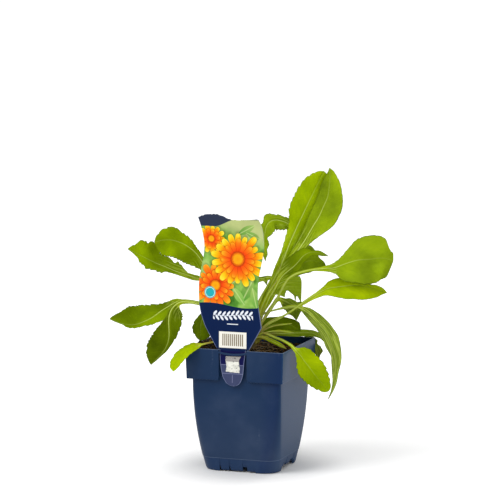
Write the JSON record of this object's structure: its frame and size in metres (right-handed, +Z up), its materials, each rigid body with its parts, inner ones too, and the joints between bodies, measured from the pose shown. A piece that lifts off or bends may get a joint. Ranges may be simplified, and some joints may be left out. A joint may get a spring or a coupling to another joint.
{
  "type": "potted plant",
  "caption": "Young blanket flower plant with long toothed green leaves, growing in a square navy nursery pot with a shaped picture label standing in a pocket of its rim.",
  "frame": {"origin": "centre of the flat boss under the square pot, on the surface that the pot stands on", "axes": "+Z up; -Y towards the front, the side of the pot that carries the label; +X to the right seen from the front"},
  "size_m": [0.2867, 0.1381, 0.322],
  "materials": {
    "navy_plastic": "injection-moulded polypropylene, satin, faint dust",
    "peat": "moist fibrous peat compost",
    "crown_fibre": "fibrous root crown with leaf bases",
    "label_print": "printed plastic sheet, semi-gloss",
    "sticker_paper": "torn paper, matt",
    "leaf_green": "living leaf, satin, finely hairy"
  },
  "bodies": {
    "root": {"square_pot": "navy_plastic", "root_ball": "peat", "crown": "crown_fibre", "plant_label": "label_print", "label_sticker": "sticker_paper", "leaf_tall_rear": "leaf_green", "leaf_tall_front": "leaf_green", "leaf_arched_rear": "leaf_green", "leaf_round_left": "leaf_green", "leaf_toothed_left": "leaf_green", "leaf_level_left": "leaf_green", "leaf_drooping_left": "leaf_green", "leaf_small_left": "leaf_green", "leaf_over_left_rim": "leaf_green", "leaf_broad_right": "leaf_green", "leaf_long_right": "leaf_green", "leaf_arching_right": "leaf_green", "leaf_over_right_rim": "leaf_green", "leaf_dark_right": "leaf_green", "leaf_over_back_rim": "leaf_green", "leaf_narrow_front": "leaf_green", "leaf_pointed_right": "leaf_green", "leaf_behind_right": "leaf_green", "leaf_hanging_middle": "leaf_green", "leaf_curled_middle": "leaf_green", "leaf_hidden_rear": "leaf_green"}
  },
  "joints": []
}
